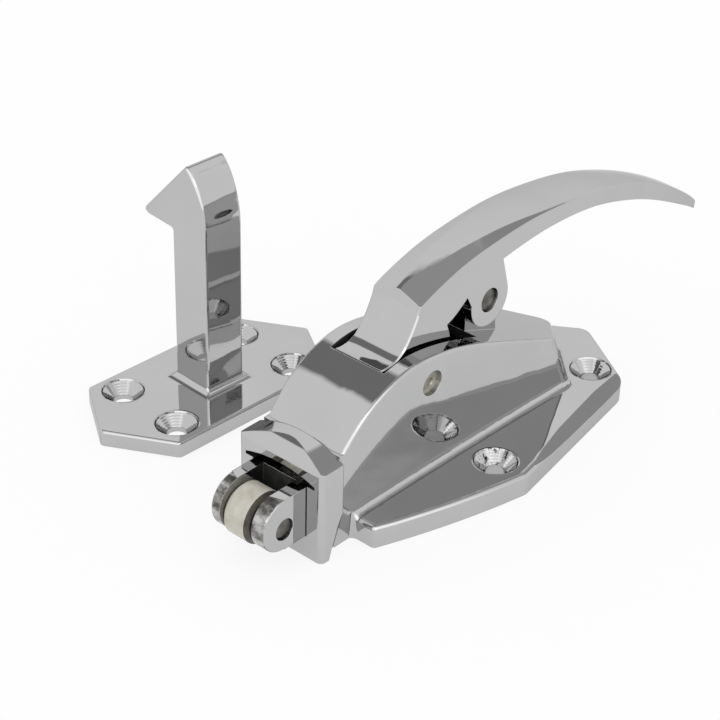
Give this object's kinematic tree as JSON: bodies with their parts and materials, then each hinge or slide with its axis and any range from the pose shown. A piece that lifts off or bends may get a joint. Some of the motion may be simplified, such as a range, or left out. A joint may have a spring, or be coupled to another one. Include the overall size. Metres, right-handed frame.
{
  "type": "lever operated roller bolt latch",
  "caption": "Surface-mounted sprung bolt latch with a curved pull lever, a nylon roller at the bolt's nose and a separate hooked strike.",
  "frame": {"origin": "on the plane of the latch's back face, on its line of symmetry, midway between the two front screw holes", "axes": "+Z out of the door from the back face, -X along the bolt towards its roller, +X towards the tip of the lever, the strike on the +Y side"},
  "size_m": [0.1804, 0.1076, 0.0669],
  "materials": {
    "polished_chrome": "mirror-polished chrome plate on a casting",
    "steel": "plain turned and stamped steel",
    "nylon": "cream nylon with a dull skin",
    "black_rubber": "matt rubber"
  },
  "bodies": {
    "base": {"body": "polished_chrome", "back_plate": "steel", "back_plate_screws": "steel", "strike": "polished_chrome", "rocker_pin_left": "steel", "rocker_pin_right": "steel", "spring_guide": "steel", "spring_washer": "steel", "stop_buffer": "black_rubber", "bolt_spring": "steel"},
    "lever": {"lever": "polished_chrome", "lever_pin": "steel"},
    "rocker": {"rocker_plate_left": "steel", "rocker_plate_right": "steel", "rocker_bar": "steel"},
    "bolt": {"bolt": "polished_chrome", "drive_pin": "steel", "roller_pin": "steel"},
    "roller": {"roller": "nylon"}
  },
  "joints": [
    {"name": "lever_turn", "type": "hinge", "parent": "base", "child": "lever", "pos_m": [0.0118, 0, 0.0409], "axis": [0, -1, 0], "range_deg": [0, 8.4], "stiffness_Nm_per_rad": 5.4, "springref_deg": -5.1},
    {"name": "rocker_turn", "type": "hinge", "parent": "base", "child": "rocker", "pos_m": [-0.015, 0, 0.0315], "axis": [0, -1, 0], "range_deg": [0, 28]},
    {"name": "bolt_slide", "type": "slide", "parent": "base", "child": "bolt", "axis": [1, 0, 0], "range_m": [0, 0.00985], "deforming": ["bolt_spring"]},
    {"name": "roller_spin", "type": "hinge", "parent": "bolt", "child": "roller", "pos_m": [-0.0613, 0, 0.01175], "axis": [0, 1, 0], "continuous": true}
  ],
  "couplings": [
    {"joint": "rocker_turn", "follows": "lever_turn", "ratio": 3.3333},
    {"joint": "bolt_slide", "follows": "lever_turn", "m_per_rad": 0.067175}
  ]
}
